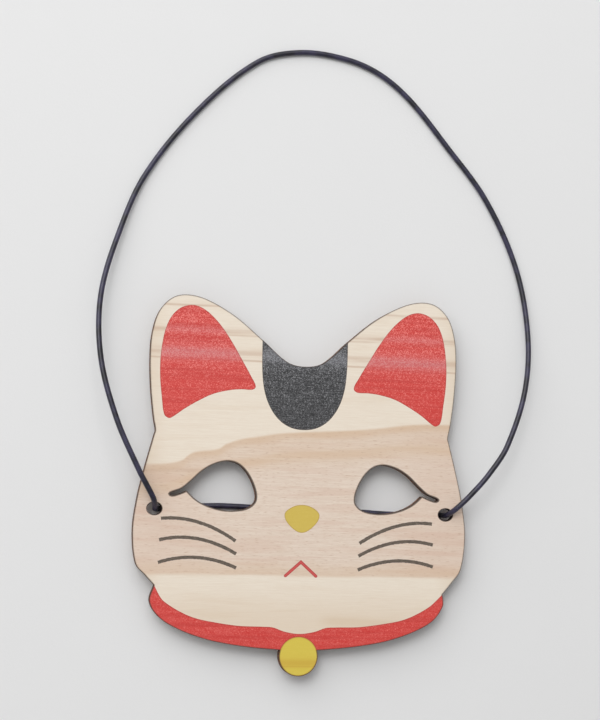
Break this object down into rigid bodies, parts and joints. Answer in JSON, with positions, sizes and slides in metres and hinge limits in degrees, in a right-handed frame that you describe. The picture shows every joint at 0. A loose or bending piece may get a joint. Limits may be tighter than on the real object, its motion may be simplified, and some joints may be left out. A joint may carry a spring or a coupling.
{
  "type": "japanese folk mask",
  "caption": "Flat plywood mask in the shape of a lucky cat's head, with cut-out eyes, a printed face and an elastic cord that holds it on the head.",
  "frame": {"origin": "on the surface that the mask lies on, under the middle of the board", "axes": "+Z out of the printed face, +Y towards the ears, +X to the right as the face is looked at"},
  "size_m": [0.2159, 0.3057, 0.0179],
  "materials": {
    "board": "pale unvarnished plywood with a printed front and charred laser-cut edges",
    "cord": "woven cover, matt"
  },
  "bodies": {
    "root": {"mask_board": "board", "cord_knot": "cord", "cord_behind_left": "cord", "cord_behind_right": "cord", "cord_loop": "cord"}
  },
  "joints": []
}
